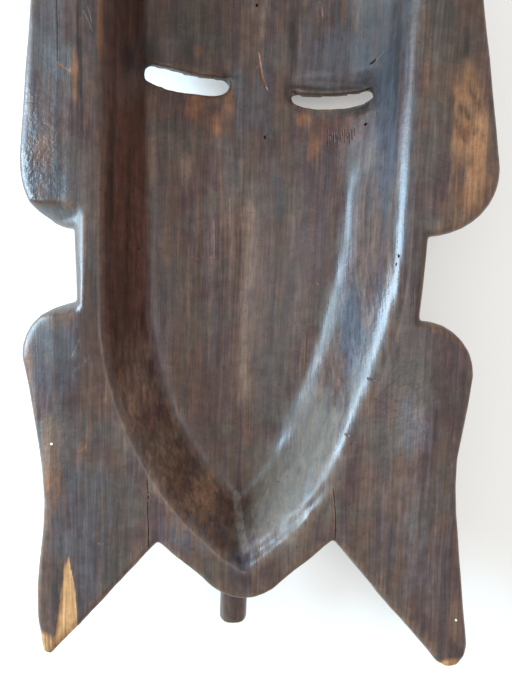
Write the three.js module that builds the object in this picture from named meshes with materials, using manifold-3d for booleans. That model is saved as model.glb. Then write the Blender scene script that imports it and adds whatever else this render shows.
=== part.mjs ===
// A face mask carved from one board of dark wood, lying on its face with the hollow back up.
// Millimetres. +Z is up, +Y runs up the face to the forehead, +X is to the right of the back.
// All plans below are drawn about the mask's middle line, heights about the flat back.

import * as THREE from "three";
import { LoftGeometry } from "three/addons/geometries/LoftGeometry.js";
import { mergeVertices } from "three/addons/utils/BufferGeometryUtils.js";
import Module from "manifold-3d";

// Driving dimensions
const thickness = 58; // from the flat back to the brow, nose and lips that it rests on
const boardThickness = 10.5; // the rim, the side flanges and the legs
const edgeRound = 3;
const roundStep = 6.5; // length of the straight pieces that stand for a round stretch of outline
const edgeStep = 15; // and of those along the long edges of the flanges
const droopDegrees = 7; // how far the flanges and legs fall away outside the rim

// The pointed oval of the rim: two large arcs below, straight sides, and a round head
const oval = {
  halfWidth: 82,
  headHalfWidth: 84,
  arcCentre: 90, // how far past the middle line each lower arc has its centre
  springY: 20, // where the arcs begin
  headY: 165, // where the round head begins
  headRise: 85,
};
const ovalPoints = { arc: 20, side: 5, head: 24 }; // straight pieces along each stretch of it

// Each step of the hollow: depth below the back, and how far inside the oval the wall is there,
// at the spring of the arcs (left and right), beside the brow, and at the crown
const hollowSteps = [
  { depth: -2, left: 10, right: 8.6, brow: 9.4, crown: 12 },
  { depth: 0, left: 10, right: 8.6, brow: 9.4, crown: 12 },
  { depth: 0.6, left: 11.4, right: 11, brow: 11.2, crown: 14.6 },
  { depth: 2.8, left: 12.8, right: 14.3, brow: 13.6, crown: 17 },
  { depth: 6.5, left: 14.6, right: 17.2, brow: 15.8, crown: 20 },
  { depth: 20, left: 20.4, right: 25, brow: 19.8, crown: 34 },
  { depth: 30.5, left: 24.4, right: 31, brow: 22, crown: 47 },
  { depth: 33.6, left: 26.4, right: 33.8, brow: 23.6, crown: 54 },
  { depth: 35, left: 30, right: 38, brow: 27, crown: 62 },
  { depth: 35.6, left: 42, right: 50, brow: 39, crown: 70 },
];

// The hollow's right side runs straighter down to the chin than the oval does
const straighter = { amount: 8.4, middleY: -18, reach: 90 };

// Each step of the convex face in front, from inside the board down to the plane of the cheeks
const faceSteps = [
  { depth: 6, inset: 3 },
  { depth: 14, inset: 5 },
  { depth: 24, inset: 9 },
  { depth: 33, inset: 14.5 },
  { depth: 39, inset: 20.5 },
  { depth: 42.5, inset: 29 },
  { depth: 44, inset: 44 },
];
const cheekDepth = 44;

// The board's outline on each side, measured outwards from the middle line
const chin = { tip: [0, -128.6], blunt: [7, -128.6], turn: [15, -123] };
const sides = {
  left: {
    sign: -1,
    rootX: 86,
    notch: [42.7, -99.8],
    toeInside: [90.5, -154.5],
    toeCurve: [[94, -160.5], [99, -161.5]],
    ankle: [99.7, -152.3],
    legEdge: [[101.5, -126.4], [98.6, -78.4], [104.9, -33], [109.6, -11]],
    lobeCurve: [[110.6, 4], [97.5, 14.5]],
    gap: [[83.6, 16], [85.4, 50.6]],
    earCurve: [[99, 51.2], [111.3, 59]],
    earEdge: [[111, 80.9], [107.2, 130.3], [105.8, 152.3], [102.5, 188], [98.5, 207]],
  },
  right: {
    sign: 1,
    rootX: 83.6,
    notch: [43.7, -97.8],
    toeInside: [96.2, -157.4],
    toeCurve: [[103, -169], [117, -169.5]],
    ankle: [116.7, -154],
    legEdge: [[109.4, -106], [105.2, -63.5], [108.6, -36.8], [111.4, -14.5]],
    lobeCurve: [[110.8, 3.5], [95, 12.8]],
    gap: [[81.1, 12.2], [83.2, 53]],
    earCurve: [[100, 53.2], [119.5, 66]],
    earEdge: [[118.2, 87], [110.2, 133.5], [105.6, 157], [100.5, 190], [96.5, 207]],
  },
};
const earTop = { curve: [[94, 228], [82, 229]], meetX: 72 };

// The eye slots, as seen from the back
const eyes = [
  { x: -37.4, y: 135.6, length: 44.6, ends: [8.4, 6.4], sag: 0.4, belly: 3.4, tilt: -6 },
  { x: 40, y: 129.8, length: 43.6, ends: [6.2, 6], sag: 1.4, belly: 3.6, tilt: 3.6 },
];
const dish = { inwards: 0.9, radiusX: 31, radiusY: 27, radiusZ: 7, lift: 3.6 };

// The features of the face in front
const nose = {
  x: -3,
  topY: 152,
  tipY: 8,
  topWidth: 13,
  tipWidth: 30,
  topHeight: 4,
  wing: 5, // the nostrils slope back over this length
  flat: 1.2, // cut off the tip by the ground it rests on
  overlap: 3, // how far its root runs into the cheeks
};
const mouth = { x: -4, y: -44, depth: 36, radiusX: 24, radiusY: 14.5, radiusZ: 26 };
const lipLine = { width: 2.4, depth: 3 };
const forehead = { x: -1, y: 190, depth: 30, radiusX: 62, radiusY: 47, radiusZ: 31 };
const eyeSplay = 6; // degrees that the lids and brows turn back towards the temples
const brow = { inwards: 0.9, reach: 29, rise: 15, thickness: 6, relief: 3.5, lift: 6 };
const lid = { radiusX: 26, radiusY: 9.5, thickness: 3.6, sink: 1 };
const beard = { x: -4.5, depth: 22, radius: 7.6, startY: -96, endY: -150.2 };

const wood = new THREE.MeshStandardMaterial({ color: 0x3a2a20, roughness: 0.55, metalness: 0 });

const wasm = await Module();
wasm.setup();

// A closed three.js geometry as a solid that can be joined and cut
function toSolid(geometry) {
  const bare = new THREE.BufferGeometry();
  bare.setAttribute("position", geometry.attributes.position);
  bare.setIndex(geometry.index);
  const merged = mergeVertices(bare, 1e-4);
  return new wasm.Manifold(
    new wasm.Mesh({
      numProp: 3,
      vertProperties: merged.attributes.position.array,
      triVerts: new Uint32Array(merged.index.array),
    }),
  );
}

function toGeometry(solid) {
  const mesh = solid.getMesh();
  const geometry = new THREE.BufferGeometry();
  geometry.setAttribute("position", new THREE.BufferAttribute(mesh.vertProperties, 3));
  geometry.setIndex(new THREE.BufferAttribute(mesh.triVerts, 1));
  return geometry;
}

// One closed ring of the pointed oval, set in from it by its own amount on each side
function ovalRing({ left, right, brow, crown, depth }) {
  const reach = oval.halfWidth + oval.arcCentre;
  const leftRadius = reach - left;
  const rightRadius = reach - right;
  // The two arcs meet at the chin, nearer the side whose wall is the steeper
  const spread = (leftRadius ** 2 - rightRadius ** 2) / (2 * oval.arcCentre);
  const leftEnd = Math.acos((2 * oval.arcCentre + spread) / 2 / leftRadius);
  const rightEnd = Math.acos((2 * oval.arcCentre - spread) / 2 / rightRadius);
  const points = [];
  const add = (x, y) => points.push(new THREE.Vector3(x, y, thickness - depth));
  for (let i = 0; i < ovalPoints.arc; i++) {
    const angle = leftEnd * (i / ovalPoints.arc);
    add(oval.arcCentre - leftRadius * Math.cos(angle), oval.springY - leftRadius * Math.sin(angle));
  }
  for (let i = ovalPoints.arc; i >= 0; i--) {
    const angle = rightEnd * (i / ovalPoints.arc);
    add(rightRadius * Math.cos(angle) - oval.arcCentre, oval.springY - rightRadius * Math.sin(angle));
  }
  const headX = oval.headHalfWidth - brow;
  for (let i = 1; i < ovalPoints.side; i++) {
    const t = i / ovalPoints.side;
    const x = THREE.MathUtils.lerp(oval.halfWidth - right, headX, t);
    add(x, THREE.MathUtils.lerp(oval.springY, oval.headY, t));
  }
  for (let i = 0; i <= ovalPoints.head; i++) {
    const angle = Math.PI * (i / ovalPoints.head);
    add(headX * Math.cos(angle), oval.headY + (oval.headRise - crown) * Math.sin(angle));
  }
  for (let i = ovalPoints.side - 1; i > 0; i--) {
    const t = i / ovalPoints.side;
    const x = THREE.MathUtils.lerp(oval.halfWidth - left, headX, t);
    add(-x, THREE.MathUtils.lerp(oval.springY, oval.headY, t));
  }
  return points;
}

// Half of the board's outline, from the chin out round the leg and the upper flange to the crown
function sideOutline(side) {
  const path = new THREE.Path();
  const toPoint = ([x, y]) => new THREE.Vector2(x, y);
  path.moveTo(...chin.tip);
  path.quadraticCurveTo(...chin.blunt, ...chin.turn);
  path.lineTo(...side.notch);
  path.lineTo(...side.toeInside);
  path.bezierCurveTo(...side.toeCurve.flat(), ...side.ankle);
  path.splineThru(side.legEdge.map(toPoint));
  path.bezierCurveTo(...side.lobeCurve.flat(), ...side.gap[0]);
  path.lineTo(...side.gap[1]);
  path.bezierCurveTo(...side.earCurve.flat(), ...side.earEdge[0]);
  path.splineThru(side.earEdge.slice(1).map(toPoint));
  const meetAngle = Math.acos(earTop.meetX / oval.headHalfWidth);
  const meetY = oval.headY + oval.headRise * Math.sin(meetAngle);
  path.bezierCurveTo(...earTop.curve.flat(), earTop.meetX, meetY);
  path.absellipse(0, oval.headY, oval.headHalfWidth, oval.headRise, meetAngle, Math.PI / 2, false);
  return trace(path).map((p) => new THREE.Vector2(side.sign * p.x, p.y));
}

// The points along a path: close together on its rounds, further apart on its long edges
function trace(path) {
  const points = [path.curves[0].getPoint(0)];
  for (const curve of path.curves) {
    const step = curve.isSplineCurve ? edgeStep : roundStep;
    const pieces = curve.isLineCurve ? 1 : Math.ceil(curve.getLength() / step);
    points.push(...curve.getSpacedPoints(pieces).slice(1));
  }
  return points;
}

// Everything beyond a flange's root line slopes down, away from the flat rim
function droop(board, side) {
  const size = 600;
  const beyond = new THREE.BoxGeometry(size, 2 * size, size);
  beyond.translate(side.sign * (side.rootX + size / 2), 0, 0);
  const cutter = toSolid(beyond);
  const flange = toGeometry(board.intersect(cutter));
  const fall = Math.tan(THREE.MathUtils.degToRad(droopDegrees));
  const position = flange.attributes.position;
  for (let i = 0; i < position.count; i++) {
    const outside = Math.abs(position.getX(i)) - side.rootX;
    position.setZ(i, position.getZ(i) - fall * Math.max(0, outside));
  }
  return board.subtract(cutter).add(toSolid(flange));
}

// The flat board that carries the rim, the flanges and the legs
function makeBoard() {
  const right = sideOutline(sides.right);
  const left = sideOutline(sides.left);
  const outline = right.concat(left.slice(1, -1).reverse());
  const board = new THREE.ExtrudeGeometry(new THREE.Shape(outline), {
    depth: boardThickness - 2 * edgeRound,
    bevelThickness: edgeRound,
    bevelSize: edgeRound,
    bevelOffset: -edgeRound,
    bevelSegments: 2,
  });
  board.translate(0, 0, thickness - boardThickness + edgeRound);
  return droop(droop(toSolid(board), sides.left), sides.right);
}

function makeFace() {
  const rings = faceSteps.map(({ depth, inset }) =>
    ovalRing({ depth, left: inset, right: inset, brow: inset, crown: inset }),
  );
  return toSolid(new LoftGeometry(rings.reverse(), { capStart: true, capEnd: true }));
}

function straighten(ring) {
  for (const point of ring) {
    const along = THREE.MathUtils.clamp((point.y - straighter.middleY) / straighter.reach, -1, 1);
    if (point.x > 0) point.x -= straighter.amount * Math.cos((Math.PI / 2) * along) ** 2;
  }
  return ring;
}

function makeHollow() {
  const rings = hollowSteps.map(ovalRing).map(straighten);
  return toSolid(new LoftGeometry(rings.reverse(), { capStart: true, capEnd: true }));
}

function ellipsoid({ x, y, depth, radiusX, radiusY, radiusZ }, around = 28, down = 14) {
  const ball = new THREE.SphereGeometry(1, around, down);
  ball.rotateX(Math.PI / 2);
  ball.scale(radiusX, radiusY, radiusZ);
  ball.translate(x, y, thickness - depth);
  return toSolid(ball);
}

// A slot like a shallow smile, cut straight through the face: its ends are blunt, and its lower
// edge bows more than the upper one
function makeSlot(eye) {
  const end = eye.length / 2;
  const [left, right] = eye.ends.map((height) => height / 2);
  const bow = (4 / 3) * eye.belly;
  const shape = new THREE.Shape();
  shape.moveTo(-end, left);
  shape.lineTo(-end, -left);
  shape.bezierCurveTo(-0.6 * end, -left - bow, 0.6 * end, -right - bow, end, -right);
  shape.lineTo(end, right);
  shape.quadraticCurveTo(0, (left + right) / 2 - 2 * eye.sag, -end, left);
  const slot = new THREE.ExtrudeGeometry(shape, {
    depth: thickness,
    bevelEnabled: false,
    curveSegments: 6,
  });
  slot.rotateZ(THREE.MathUtils.degToRad(eye.tilt));
  slot.translate(eye.x, eye.y, -thickness / 4);
  return toSolid(slot);
}

// The long nose widens and rises from the brow down to its flat tip, then slopes back to the cheeks
function makeNose() {
  const cheek = thickness - cheekDepth;
  const root = cheek + nose.overlap;
  const section = (y, width, front) => {
    const profile = [[-1, root], [-0.78, (root + front) / 2], [-0.34, front]];
    const mirrored = profile.map(([x, z]) => [-x, z]).reverse();
    return profile
      .concat(mirrored)
      .map(([x, z]) => new THREE.Vector3(nose.x + (x * width) / 2, y, z));
  };
  const sections = [];
  const steps = 5;
  for (let i = 0; i <= steps; i++) {
    const t = i / steps;
    const y = THREE.MathUtils.lerp(nose.topY, nose.tipY, t);
    const width = THREE.MathUtils.lerp(nose.topWidth, nose.tipWidth, t * t);
    const front = THREE.MathUtils.lerp(cheek - nose.topHeight, -nose.flat, t ** 0.8);
    sections.push(section(y, width, front));
  }
  sections.push(section(nose.tipY - nose.wing, 0.86 * nose.tipWidth, nose.wing));
  sections.push(section(nose.tipY - 1.6 * nose.wing, 0.6 * nose.tipWidth, cheek + 1));
  return toSolid(new LoftGeometry(sections, { capStart: true, capEnd: true }));
}

// The eyes slant, and follow the round of the face back towards the temples
function splay(form, eye) {
  form.rotateZ(THREE.MathUtils.degToRad(eye.tilt));
  form.rotateY(-Math.sign(eye.x) * THREE.MathUtils.degToRad(eyeSplay));
}

// The raised lid round each eye
function makeLid(eye) {
  const ring = new THREE.TorusGeometry(1, lid.thickness / lid.radiusX, 6, 24);
  ring.scale(lid.radiusX, lid.radiusY, lid.radiusX);
  splay(ring, eye);
  ring.translate(eye.x, eye.y, thickness - cheekDepth + lid.sink);
  return toSolid(ring);
}

// The brow over each eye is a crescent, thickest over the middle of the eye
function makeBrow(eye) {
  const shape = new THREE.Shape();
  shape.moveTo(-brow.reach, 0);
  shape.quadraticCurveTo(0, 2 * brow.rise, brow.reach, 0);
  shape.quadraticCurveTo(0, 2 * (brow.rise - brow.thickness), -brow.reach, 0);
  const crescent = new THREE.ExtrudeGeometry(shape, {
    depth: brow.relief + 4,
    bevelEnabled: false,
    curveSegments: 10,
  });
  crescent.translate(0, 0, -brow.relief);
  splay(crescent, eye);
  crescent.translate(eye.x * brow.inwards, eye.y + brow.lift, thickness - cheekDepth);
  return toSolid(crescent);
}

// The beard is a round peg with a flat end
function makeBeard() {
  const length = beard.startY - beard.endY;
  const peg = new THREE.CylinderGeometry(beard.radius, 0.94 * beard.radius, length, 16);
  peg.translate(beard.x, (beard.startY + beard.endY) / 2, thickness - beard.depth);
  return toSolid(peg);
}

// The mouth juts out, with a shallow line between its lips
function makeMouth() {
  const line = new THREE.BoxGeometry(2 * mouth.radiusX, lipLine.width, 2 * lipLine.depth);
  line.translate(mouth.x, mouth.y, 0);
  return ellipsoid(mouth, 20, 12).subtract(toSolid(line));
}

function carve() {
  let solid = makeBoard().add(makeFace()).add(ellipsoid(forehead)).add(makeNose());
  solid = solid.add(makeMouth()).add(makeBeard());
  for (const eye of eyes) {
    solid = solid.add(makeLid(eye)).add(makeBrow(eye));
  }
  solid = solid.subtract(makeHollow());
  for (const eye of eyes) {
    const depth = hollowSteps.at(-1).depth - dish.lift;
    solid = solid.subtract(ellipsoid({ ...dish, x: eye.x * dish.inwards, y: eye.y, depth }));
    solid = solid.subtract(makeSlot(eye));
  }
  const ground = new THREE.BoxGeometry(600, 800, 40);
  ground.translate(0, 0, -20);
  return solid.subtract(toSolid(ground));
}

const geometry = toGeometry(carve());
geometry.computeBoundingBox();
const centre = geometry.boundingBox.getCenter(new THREE.Vector3());
const mask = new THREE.Mesh(geometry, wood);
mask.name = "mask";
mask.position.set(-centre.x, -centre.y, 0);

const model = new THREE.Group();
model.add(mask);

export default model;
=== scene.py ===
import math

import bpy
import numpy as np
from mathutils import Matrix, Vector, noise


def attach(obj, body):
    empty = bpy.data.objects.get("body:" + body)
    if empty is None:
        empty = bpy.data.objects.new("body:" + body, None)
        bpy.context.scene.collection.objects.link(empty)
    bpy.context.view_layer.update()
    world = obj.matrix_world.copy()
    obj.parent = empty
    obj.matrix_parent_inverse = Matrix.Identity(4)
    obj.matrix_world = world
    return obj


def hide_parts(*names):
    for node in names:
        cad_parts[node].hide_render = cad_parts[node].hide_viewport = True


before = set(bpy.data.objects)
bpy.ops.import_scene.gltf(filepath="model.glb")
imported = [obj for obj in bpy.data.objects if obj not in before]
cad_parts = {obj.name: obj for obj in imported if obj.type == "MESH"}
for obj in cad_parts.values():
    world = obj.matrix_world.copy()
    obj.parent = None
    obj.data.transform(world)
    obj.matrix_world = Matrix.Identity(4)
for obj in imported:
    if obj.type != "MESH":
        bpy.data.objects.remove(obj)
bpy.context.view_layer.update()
scene = bpy.context.scene
mm = 0.001


# Small helpers

def only(obj):
    bpy.ops.object.select_all(action="DESELECT")
    obj.select_set(True)
    bpy.context.view_layer.objects.active = obj


def useModifier(obj, kind, **settings):
    only(obj)
    modifier = obj.modifiers.new(kind, kind)
    for name, value in settings.items():
        setattr(modifier, name, value)
    bpy.ops.object.modifier_apply(modifier=modifier.name)


def readPoints(obj, field="co"):
    values = np.empty(len(obj.data.vertices) * 3)
    obj.data.vertices.foreach_get(field, values)
    return values.reshape(-1, 3)


def writePoints(obj, points):
    obj.data.vertices.foreach_set("co", points.ravel())
    obj.data.update()


def fade(value, start, end):
    # 0 at start, 1 at end, smooth between
    t = np.clip((value - start) / (end - start), 0, 1)
    return t * t * (3 - 2 * t)


def awayFrom(points, x, y, across, along):
    # How far each point lies in plan from a spot, where 1 is the edge of the spot's oval reach
    return np.hypot((points[:, 0] - x) / across, (points[:, 1] - y) / along)


def noiseAt(points, size, seed):
    # size is the length in mm of one swell along X, Y and Z
    seedStep = 17.31  # cells from one seed's noise to the next
    cells = points / np.array(size) + seed * seedStep
    return np.array([noise.noise(cell) for cell in cells.tolist()])


def relax(obj, points, weight, rounds):
    # Each round moves a point halfway to the middle of its neighbours, as far as its weight says
    edges = np.empty(len(obj.data.edges) * 2, int)
    obj.data.edges.foreach_get("vertices", edges)
    edges = edges.reshape(-1, 2)
    edges = edges[(weight[edges] > 0).any(1)]
    used, ends = np.unique(edges, return_inverse=True)
    a, b = ends.reshape(-1, 2).T
    count = len(used)
    neighbours = np.bincount(np.append(a, b), minlength=count)[:, None]
    moved = points[used]
    share = 0.5 * weight[used][:, None]
    for _ in range(rounds):
        total = np.stack([
            np.bincount(a, moved[b, axis], count) + np.bincount(b, moved[a, axis], count)
            for axis in range(moved.shape[1])
        ], 1)
        moved += share * (total / neighbours - moved)
    points = points.copy()
    points[used] = moved
    return points


# The pointed oval of the rim, in mm, as in the wood's own frame

oval = {
    "middle": -3.6,
    "springY": -22.26,  # the lower arcs begin here
    "headY": 122.74,  # the round head begins here
    "halfWidth": 82,
    "headHalfWidth": 84,
    "headRise": 85,
    "arcCentre": 90,
    "back": 58,  # height of the flat back
}
facing = {
    "walls": 0.7,  # how much the walls count as turned to the back
    "inset": (2, 10),  # mm inside the rim, where that begins and is full
    "from": -0.2,
    "full": 0.2,
}


def insetOf(points):
    # How far inside the oval each point lies in plan, in mm, less than 0 outside
    x = np.abs(points[:, 0] - oval["middle"])
    y = points[:, 1]
    bow = np.hypot(x + oval["arcCentre"], y - oval["springY"])
    low = oval["halfWidth"] + oval["arcCentre"] - bow
    widths = oval["halfWidth"], oval["headHalfWidth"]
    middle = np.interp(y, (oval["springY"], oval["headY"]), widths) - x
    ring = np.hypot(x / oval["headHalfWidth"], (y - oval["headY"]) / oval["headRise"])
    high = (1 - ring) * oval["headHalfWidth"]
    return np.where(y < oval["springY"], low, np.where(y < oval["headY"], middle, high))


def facingBack(points, normals):
    # More than 0 on the hollow side, less on the face side
    inwards = -normals[:, 0] * np.sign(points[:, 0] - oval["middle"])
    return normals[:, 2] + facing["walls"] * inwards * fade(insetOf(points), *facing["inset"])


def hollowSide(points, normals, start=facing["from"]):
    # 1 on the hollow side and 0 on the face side
    return fade(facingBack(points, normals), start, facing["full"])


# The block: the wood's shape with its flats melted into one another

block = {
    "step": 1.0,  # mm between points while it is carved
    "triangles": 165000,  # left after thinning
    "edgeRounds": 4,
    "bodyRounds": 60,  # the rolled rim and the hollow's walls
    "slotsKept": 0.8,  # how far the edges of the slots stay as they are
    "softInset": (7, 13),  # the body is smooth from here, in mm inside the rim
    "softDepth": (13, 20),  # or in mm under the back
}
rims = {  # how crisp the rim's inner edge stays, the change of that along it, and where it ends
    "left": {"crisp": 0.75, "change": -0.35, "along": (-20, -80), "inset": (24, 18)},
    "right": {"crisp": 0.5, "change": 0.38, "along": (70, 0), "inset": (30, 24)},
    "fromMiddle": (0, 30),
    "depth": (14, 8),
}
peg = {"at": (-8, -196), "reach": (14, 46)}
slots = [
    {"at": (-41, 94.5), "reach": (25, 8.5), "wall": -65},
    {"at": (36.4, 87.5), "reach": (25, 8), "wall": 59.5},
]
wallEase = (-1.5, 3.5)  # mm before a wall, where a slot begins to count and counts in full
gapEdge = {  # cut away between the left flanges
    "x": -83.2, "top": 12, "low": -26, "ends": 8, "slope": 0.62, "height": (20, 50),
}


def nearSlots(points, full=0.85, none=1.25, onWalls=False):
    # 1 on and by the slots, and 0 on the walls that they end at unless asked for
    near = np.zeros(len(points))
    for slot in slots:
        away = awayFrom(points, *slot["at"], *slot["reach"])
        toWall = np.sign(slot["wall"]) * (slot["wall"] - points[:, 0])
        clear = 1 if onWalls else fade(toWall, *wallEase)
        near = np.maximum(near, (1 - fade(away, full, none)) * clear)
    return near


def crispness(points, inset, rim):
    change = rim["change"] * fade(points[:, 1], *rim["along"])
    return (rim["crisp"] + change) * fade(inset, *rim["inset"])


def makeBlock():
    mask = bpy.data.objects.new("carvedMask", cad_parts["mask"].data.copy())
    scene.collection.objects.link(mask)
    only(mask)
    bpy.ops.object.mode_set(mode="EDIT")
    bpy.ops.mesh.select_all(action="SELECT")
    bpy.ops.mesh.remove_doubles(threshold=0.00001)
    bpy.ops.object.mode_set(mode="OBJECT")
    useModifier(mask, "REMESH", mode="VOXEL", voxel_size=block["step"] * mm, adaptivity=0)
    points = readPoints(mask) / mm
    kept = block["slotsKept"] * nearSlots(points)
    points = relax(mask, points, 1 - kept, block["edgeRounds"])
    inset = insetOf(points)
    depth = oval["back"] - points[:, 2]
    onPeg = awayFrom(points, *peg["at"], *peg["reach"]) < 1
    clear = (1 - nearSlots(points)) * ~onPeg
    left, right = (crispness(points, inset, rims[side]) for side in ("left", "right"))
    crisp = np.where(points[:, 0] < 0, left, right)
    crisp *= fade(np.abs(points[:, 0]), *rims["fromMiddle"])
    crisp *= fade(depth, *rims["depth"])
    soft = np.maximum(fade(inset, *block["softInset"]), fade(depth, *block["softDepth"]))
    points = relax(mask, points, soft * clear * (1 - crisp), block["bodyRounds"])
    edge = np.maximum(gapEdge["x"] - points[:, 0], 0) * gapEdge["slope"]
    edge *= fade(points[:, 1], gapEdge["low"] - gapEdge["ends"], gapEdge["low"])
    edge *= fade(points[:, 1], gapEdge["top"] + gapEdge["ends"], gapEdge["top"])
    points[:, 2] -= edge * fade(points[:, 2], *gapEdge["height"])
    writePoints(mask, points * mm)
    meltHollow(mask)
    print("block", len(mask.data.vertices), "points")
    return mask


# The hollow: the foot of the right wall is melted away, and the slots' ends are rubbed smooth

hollow = {
    "corner": (-95, -170),  # mm, of the grid of 1 mm cells that holds its heights
    "size": (190, 360),
    "facing": 0.2,  # a point counts if it is turned up, and lies inside and above these
    "inset": 6,
    "height": 12,
    "fillRounds": 60,
    "evenReach": 2.2,  # mm that the whole grid is blurred over
    "calm": {"share": 0.8, "full": 0.9, "none": 1.7},  # less is melted by the slots
    "meltInset": (15, 22),
    "meltDepth": (7, 18),
    "fullShare": 0.35,
    "turned": (0, 0.2),
    "slotEdge": (0.85, 1.0),
    "letGo": (2, 6),  # mm under the edge of a slot, where its side stops following the edge
}
melts = [  # mm that the melting reaches, and where it fades in and out
    {"reach": 9, "along": (32, 66, 300, 301), "across": (-25, 8)},
    {"reach": 4, "along": (-118, -80, 32, 66), "across": (-40, 20)},
]
rubs = [  # beyond the ends of the slots the walls are rubbed smooth
    {"at": (60, 88), "reach": (8, 17), "edge": (56.4, 58.2)},
    {"at": (-66.5, 94), "reach": (7, 16), "edge": (-63.6, -65.2)},
]
rubbing = {"full": 0.6, "rounds": 40}
bulge = {  # the right rim and the crease under it lie further out, halfway down
    "x": (5, 32, 46, 60, 67, 74.5),
    "share": (0, 0.25, 0.42, 1, 0.85, 0),
    "push": 4.2,
    "y": -25,
    "reach": 42,
}


def blur(grid, reach):
    # Each cell becomes the mean of those round it, with the weights of a bell curve
    for axis, number in enumerate(grid.shape):
        apart = np.arange(number)[:, None] - np.arange(number)[None, :]
        weights = np.exp(-0.5 * (apart / reach) ** 2)
        weights /= weights.sum(1, keepdims=True)
        grid = weights @ grid if axis == 0 else grid @ weights.T
    return grid


def fillGaps(heights, full, rounds):
    # Cells that aren't full take the mean of those beside them, over and over
    heights = np.where(full, heights, heights[full].mean())
    for _ in range(rounds):
        mean = sum(np.roll(heights, step, axis) for step in (-1, 1) for axis in (0, 1)) / 4
        heights = np.where(full, heights, mean)
    return heights


def measureHollow(points, normals, corner, size):
    # The highest point of the hollow in each cell
    cell = np.clip(np.round(points[:, :2] - corner).astype(int), 0, np.array(size) - 1)
    known = (normals[:, 2] > hollow["facing"]) & (insetOf(points) > hollow["inset"])
    known &= points[:, 2] > hollow["height"]
    heights = np.full(size, -1.0)
    np.maximum.at(heights, (cell[known, 0], cell[known, 1]), points[known, 2])
    return fillGaps(heights, heights >= 0, hollow["fillRounds"])


def meltHollow(mask):
    # The heights are blurred, and the wood follows them
    points = readPoints(mask) / mm
    normals = readPoints(mask, "normal")
    corner = np.array(hollow["corner"], float)
    size = hollow["size"]
    raw = measureHollow(points, normals, corner, size)
    even = blur(raw, hollow["evenReach"])
    rows = (start + np.arange(count) for start, count in zip(corner, size))
    x, y = np.meshgrid(*rows, indexing="ij")
    plan = np.stack([x.ravel(), y.ravel()], 1)
    inset = insetOf(plan).reshape(size)
    calm = hollow["calm"]
    calm = 1 - calm["share"] * nearSlots(plan, calm["full"], calm["none"]).reshape(size)
    target = even
    share = np.zeros(size)
    for melt in melts:
        first, full, last, gone = melt["along"]
        much = fade(y, first, full) * (1 - fade(y, last, gone)) * fade(x, *melt["across"])
        lower = fade(oval["back"] - even, *hollow["meltDepth"])
        much *= fade(inset, *hollow["meltInset"]) * lower * calm
        target = target + much * (blur(even, melt["reach"]) - even)
        share = np.maximum(share, much)
    share = fade(share, 0, hollow["fullShare"])
    inside = 1.001  # cells, so that the next cell is in the grid too
    across = np.clip(points[:, 0] - corner[0], 0, size[0] - inside)
    along = np.clip(points[:, 1] - corner[1], 0, size[1] - inside)
    i, j = across.astype(int), along.astype(int)
    u, v = across - i, along - j

    def sample(grid):
        low = grid[i, j] * (1 - u) + grid[i + 1, j] * u
        high = grid[i, j + 1] * (1 - u) + grid[i + 1, j + 1] * u
        return low * (1 - v) + high * v

    # The hollow goes to the new height, and the sides of the slots only follow their top edges
    up = fade(facingBack(points, normals), *hollow["turned"])
    up *= 1 - nearSlots(points, *hollow["slotEdge"], onWalls=True)
    up = np.maximum(fade(normals[:, 2], *hollow["turned"]), up)
    under = sample(raw) - points[:, 2]
    follow = sample(share * (target - raw)) * (1 - fade(under, *hollow["letGo"]))
    points[:, 2] += up * sample(share) * (sample(target) - points[:, 2]) + (1 - up) * follow
    for rub in rubs:
        rubbed = fade(awayFrom(points, *rub["at"], *rub["reach"]), 1, rubbing["full"])
        rubbed *= fade(points[:, 0], *rub["edge"]) * (points[:, 2] > hollow["height"])
        points = relax(mask, points, rubbed, rubbing["rounds"])
    share = np.interp(points[:, 0], bulge["x"], bulge["share"])
    lengthwise = np.exp(-((points[:, 1] - bulge["y"]) / bulge["reach"]) ** 2)
    points[:, 0] += bulge["push"] * share * lengthwise
    writePoints(mask, points * mm)


# Carving: swells and cuts along the surface, in mm, outwards more than 0

swells = [
    {"size": (16, 48, 16), "height": 0.5, "seed": 1},  # the long strokes of the adze
    {"size": (6, 15, 6), "height": 0.18, "seed": 2},  # knife cuts
    {"size": (2.4, 70, 5), "height": 0.07, "seed": 3},  # harder and softer grain
]
resting = (0.3, 2.5)  # mm of height, what it rests on stays flat
floorDepth = (26, 33)
keel = {"x": -4.6, "low": (-112, -72), "top": (36, 96), "halfWidth": 7, "height": 0.55}
chinFacet = {  # a flat along the rim, right of the chin
    "inset": 14.6, "halfWidth": 2.2, "cut": 0.9,
    "along": (-96, -124), "across": (-8, -2), "depth": (18, 12),
}
chinCuts = {
    "size": (7, 7, 7), "height": 0.35, "seed": 5,
    "along": (-112, -70), "across": (-8, 6), "inset": (7, 12), "depth": (5, 11),
}
sockets = [  # cut back above the slots
    {"at": (33, 92.5), "reach": (18, 4), "cut": 0.7},
    {"at": (-26, 95.5), "reach": (10, 3.5), "cut": 0.5},
]


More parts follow.
